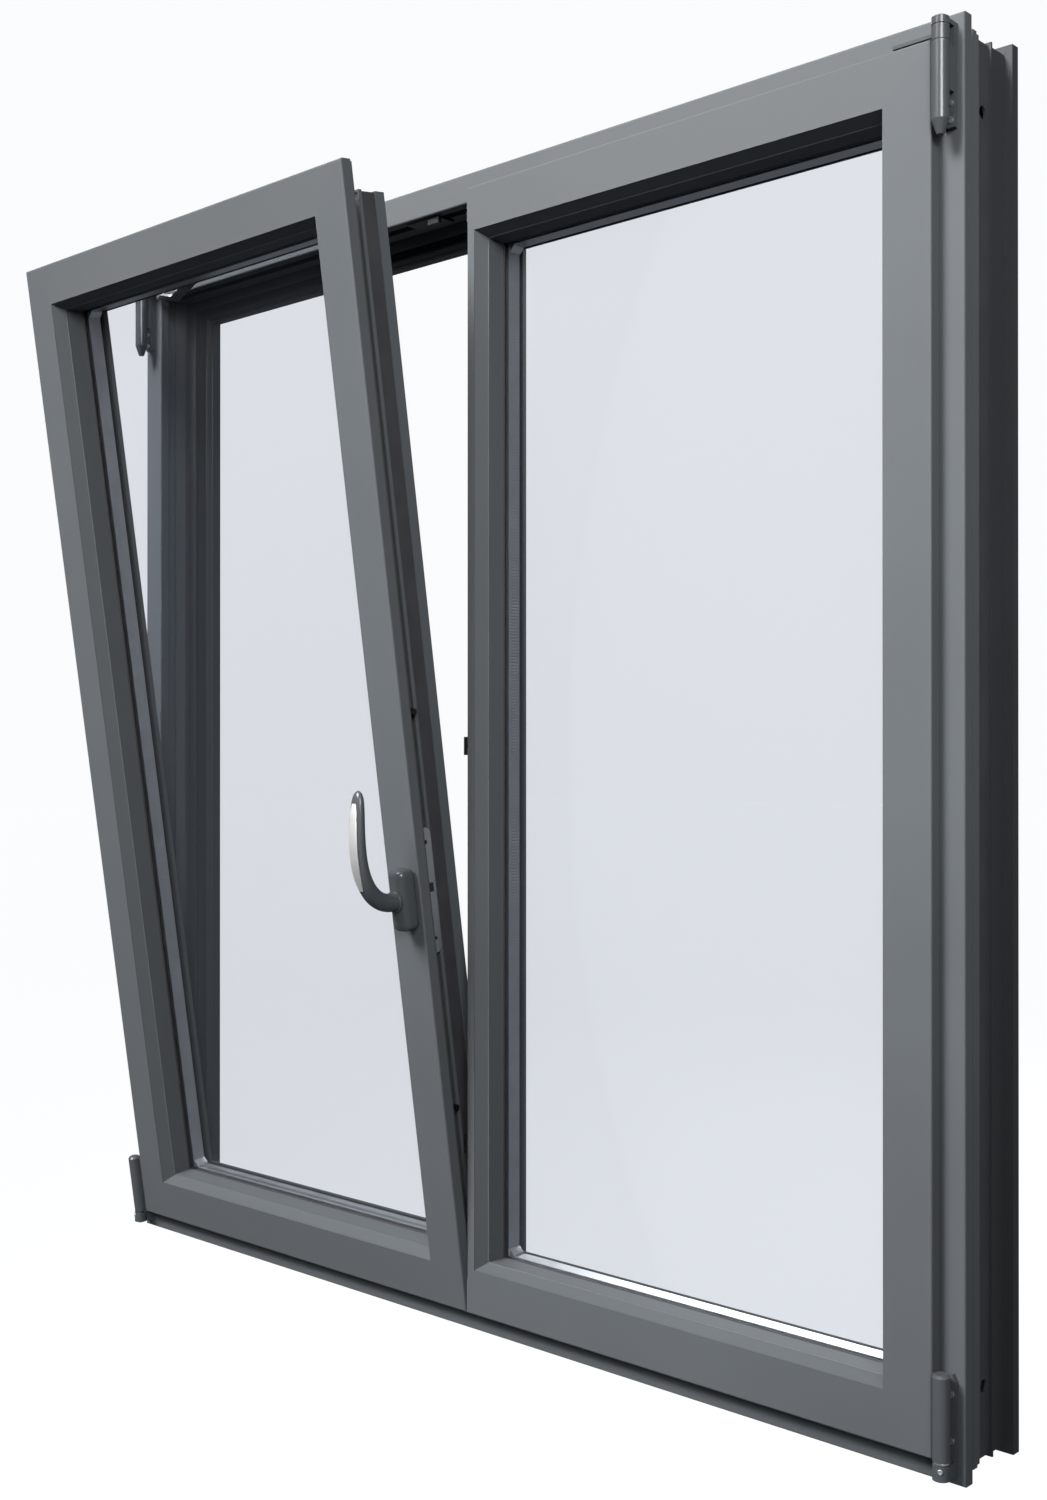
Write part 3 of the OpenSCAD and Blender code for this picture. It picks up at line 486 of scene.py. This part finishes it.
def add_inlay():
    rings = in_metres(inlay_rings())
    up, out, lean, width, depth = rings[0]
    middle = (0, up, out)
    turn = math.radians(lean)
    inlay = start("plane", "lever_inlay", size=1, location=middle)
    bpy.ops.transform.resize(value=(width, depth, 1), center_override=middle)
    bpy.ops.transform.rotate(value=turn, orient_axis="X", center_override=middle)
    sweep(rings)
    apply_modifier(inlay, "BEVEL", width=INLAY_EDGE * MM, segments=2, limit_method="ANGLE")
    apply_modifier(inlay, "SUBSURF", levels=1, render_levels=1)
    close(inlay, HANDLE, "handle", "inlay", smooth=50)
    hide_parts("handle_inlay")


def add_housing():
    width, height, depth = (size * MM for size in HOUSING)
    middle = (HOUSING_ASIDE * MM, 0, depth / 2)
    housing = start("cube", "housing_cover", size=1, location=middle)
    bpy.ops.transform.resize(value=(width, height, depth), center_override=middle)
    pick(housing, edges=lambda a, b: abs(a.z - b.z) > depth / 2)
    bpy.ops.mesh.bevel(offset=HOUSING_CORNER * MM, segments=8)
    pick(housing, faces=lambda face: face.normal.z > FLAT)
    bpy.ops.mesh.bevel(offset=HOUSING_RIM * MM, segments=4)
    close(housing, HANDLE, "left_leaf", "paint_gloss")
    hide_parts("handle_housing")


def add_collar():
    """The round foot of the lever on the housing."""
    collar = add_disc("lever_collar", LEVER_COLLAR, (0, 0, LEVER_COLLAR_OUT * MM))
    close(collar, HANDLE, "handle", "paint_gloss")


# ---------------------------------------------------------------------- hinges

SIDES = (("left", -1), ("right", 1))
# Outer radius, inner radius and height of the small discs, in mm
WASHER = (7.0, 4.0, 0.6)
PIN_HEAD = (5.4, 2.6, 1.6)
ADJUSTING_COLLAR = (6.6, 4.0, 1.6)
ADJUSTING_SCREW = (2.1, 1.2, 1.4)
# The screws' turn about the hinge axis, their distance from it and drop below the knuckle
SCREW_TURN = 22
SCREW_OUT = 7.4 * MM
SCREW_DROP = 5.5 * MM


def add_hinge_trim():
    """Washers where the knuckles meet, a head on each upper pin and one adjusting collar."""
    for side, sign in SIDES:
        for step, level in (("lower", -1), ("upper", 1)):
            at = (sign * HINGE_X, HINGE_Y, RING_MIDDLE + level * RING_HALF)
            washer = add_disc(f"{side}_{step}_washer", WASHER, at)
            close(washer, Matrix(), "frame", "steel")
        at = (sign * HINGE_X, HINGE_Y, HINGE_TOP + 0.5 * MM)
        head = add_disc(f"{side}_pin_head", PIN_HEAD, at)
        close(head, Matrix(), "frame", "paint_gloss")
    at = (HINGE_X, HINGE_Y, KNUCKLE_TOP)
    collar = add_disc("adjusting_collar", ADJUSTING_COLLAR, at)
    close(collar, Matrix(), "frame", "steel")


def add_hinge_screws():
    """Socket screws that show on the room side of both lower bearings."""
    face = Matrix.Rotation(math.radians(90), 4, "X")
    for side, sign in SIDES:
        screw = add_disc(f"{side}_adjusting_screw", ADJUSTING_SCREW, (0, 0, 0), sides=20)
        axis = about((sign * HINGE_X, HINGE_Y, KNUCKLE_TOP - SCREW_DROP))
        turn = Matrix.Rotation(math.radians(SCREW_TURN * sign), 4, "Z")
        out = axis @ turn @ about((0, -SCREW_OUT, 0))
        close(screw, out @ face, "frame", "steel")


# ---------------------------------------------------------------------- glazing

KEY_SIZE = 7.0 * MM
# How far a key's corner stands in from the spacer's, its depth as a share of the spacer's
KEY_INSET = 7.1 * MM
KEY_DEPTH = 0.94
KEY_EDGE = 0.25 * MM


def leaf_box(node, lean):
    """Lowest and highest corner of a leaf's node, measured in the leaf's own upright frame."""
    upright = lean.inverted()
    points = [upright @ vertex.co for vertex in nodes[node].data.vertices]
    low = Vector(tuple(min(point[i] for point in points) for i in range(3)))
    high = Vector(tuple(max(point[i] for point in points) for i in range(3)))
    return low, high


def corner_key(name, depth, across, up):
    """A block over the corner with its free corner cut off and its edges broken."""
    middle = (across * KEY_SIZE / 2, 0, up * KEY_SIZE / 2)
    size = (KEY_SIZE, depth * KEY_DEPTH, KEY_SIZE)
    key = start("cube", name, size=1, location=middle)
    bpy.ops.transform.resize(value=size, center_override=middle)
    far = (across * KEY_SIZE, up * KEY_SIZE)
    pick(key, edges=lambda a, b: (
        abs(a.y - b.y) > depth / 2 and math.dist((a.x, a.z), far) < KEY_SIZE / 10
    ))
    bpy.ops.mesh.bevel(offset=KEY_SIZE * 0.8, segments=1)
    bpy.ops.mesh.select_all(action="SELECT")
    bpy.ops.mesh.bevel(offset=KEY_EDGE, segments=2)
    return key


def add_corner_keys():
    """Plated keys that join the spacer bars, one in each corner of each leaf's spacer."""
    for side, lean in (("left", LEFT_LEAN), ("right", Matrix())):
        low, high = leaf_box(f"{side}_leaf_spacer", lean)
        for across in (0, 1):
            for up in (0, 1):
                x = high.x - KEY_INSET if across else low.x + KEY_INSET
                z = high.z - KEY_INSET if up else low.z + KEY_INSET
                name = f"{side}_corner_key_{across}{up}"
                key = corner_key(name, high.y - low.y, -1 if across else 1, -1 if up else 1)
                place = lean @ about((x, (low.y + high.y) / 2, z))
                close(key, place, f"{side}_leaf", "steel")


def add_pieces():
    add_lever()
    add_inlay()
    add_housing()
    add_collar()
    add_hinge_trim()
    add_hinge_screws()
    add_corner_keys()


# ---------------------------------------------------------------- camera, light

CAMERA_PLACE = (1.2532, -1.2625, 0.5878)
CAMERA_PITCH = 90.162
CAMERA_YAW = 42.558
CAMERA_LENS = 40.63
CAMERA_SHIFT = -0.0143
SKY_SEEN = (0.965, 0.97, 0.98, 1)
SKY_LIT = (0.86, 0.93, 1.0, 1)
SKY_POWER = 0.16
FLOOR_SIZE = 60
FLOOR_DROP = 0.45
FLOOR_BASE = (0.01, 0.01, 0.01)
FLOOR_GLOW = (0.955, 0.96, 0.97, 1)
# Name: place, target, size, power and spread
LIGHTS = {
    "key": ((-1.0, -3.2, 3.9), (-0.1, 0, 0.95), (2.8, 2.2), 66, 36),
    "top": ((0.4, -0.9, 3.2), (0, 0, 0.9), (2.0, 1.2), 16, 180),
    "fill": ((2.8, -2.4, 2.1), (0.2, 0, 1.0), (1.8, 1.6), 20, 45),
    "back": ((-1.5, 3.6, 2.4), (0, 0, 0.6), (2.4, 2.0), 130, 180),
}


def aim(obj, target):
    obj.rotation_euler = (Vector(target) - obj.location).to_track_quat("-Z", "Y").to_euler()


def add_camera():
    data = bpy.data.cameras.new("camera")
    data.lens = CAMERA_LENS
    data.shift_x = CAMERA_SHIFT
    camera = bpy.data.objects.new("camera", data)
    camera.location = CAMERA_PLACE
    camera.rotation_euler = (math.radians(CAMERA_PITCH), 0, math.radians(CAMERA_YAW))
    bpy.context.scene.collection.objects.link(camera)
    bpy.context.scene.camera = camera


def add_light(name, place, target, size, power, spread):
    data = bpy.data.lights.new(name, "AREA")
    data.shape = "RECTANGLE"
    data.size, data.size_y = size
    data.energy = power
    data.spread = math.radians(spread)
    light = bpy.data.objects.new(name, data)
    light.location = place
    bpy.context.scene.collection.objects.link(light)
    aim(light, target)


def add_world():
    """Pale where it is seen, dimmer as a light, so that the softboxes shape the coat."""
    world = bpy.data.worlds.new("studio")
    world.use_nodes = True
    tree = world.node_tree
    seen = tree.nodes["Background"]
    seen.inputs["Color"].default_value = SKY_SEEN
    lit = tree.nodes.new("ShaderNodeBackground")
    lit.inputs["Color"].default_value = SKY_LIT
    lit.inputs["Strength"].default_value = SKY_POWER
    path = tree.nodes.new("ShaderNodeLightPath")
    both = tree.nodes.new("ShaderNodeMixShader")
    tree.links.new(path.outputs["Is Camera Ray"], both.inputs[0])
    tree.links.new(lit.outputs[0], both.inputs[1])
    tree.links.new(seen.outputs[0], both.inputs[2])
    tree.links.new(both.outputs[0], tree.nodes["World Output"].inputs["Surface"])
    bpy.context.scene.world = world


def add_floor():
    """A pale ground that the camera sees and that adds no light to the part."""
    level = cad_box[0][2] - FLOOR_DROP
    bpy.ops.object.select_all(action="DESELECT")
    bpy.ops.mesh.primitive_plane_add(size=FLOOR_SIZE, location=(0, 0, level))
    floor = bpy.context.object
    floor.name = "floor"
    floor.visible_diffuse = False
    floor.visible_glossy = False
    pale = Shader("pale_floor", FLOOR_BASE, roughness=0.95)
    pale.set("Emission Color", FLOOR_GLOW)
    pale.set("Emission Strength", 1.0)
    floor.data.materials.append(pale.material)


dress_frame()
add_pieces()
add_world()
add_floor()
for light_name, values in LIGHTS.items():
    add_light(light_name, *values)
add_camera()
bpy.context.scene.view_settings.view_transform = "Standard"
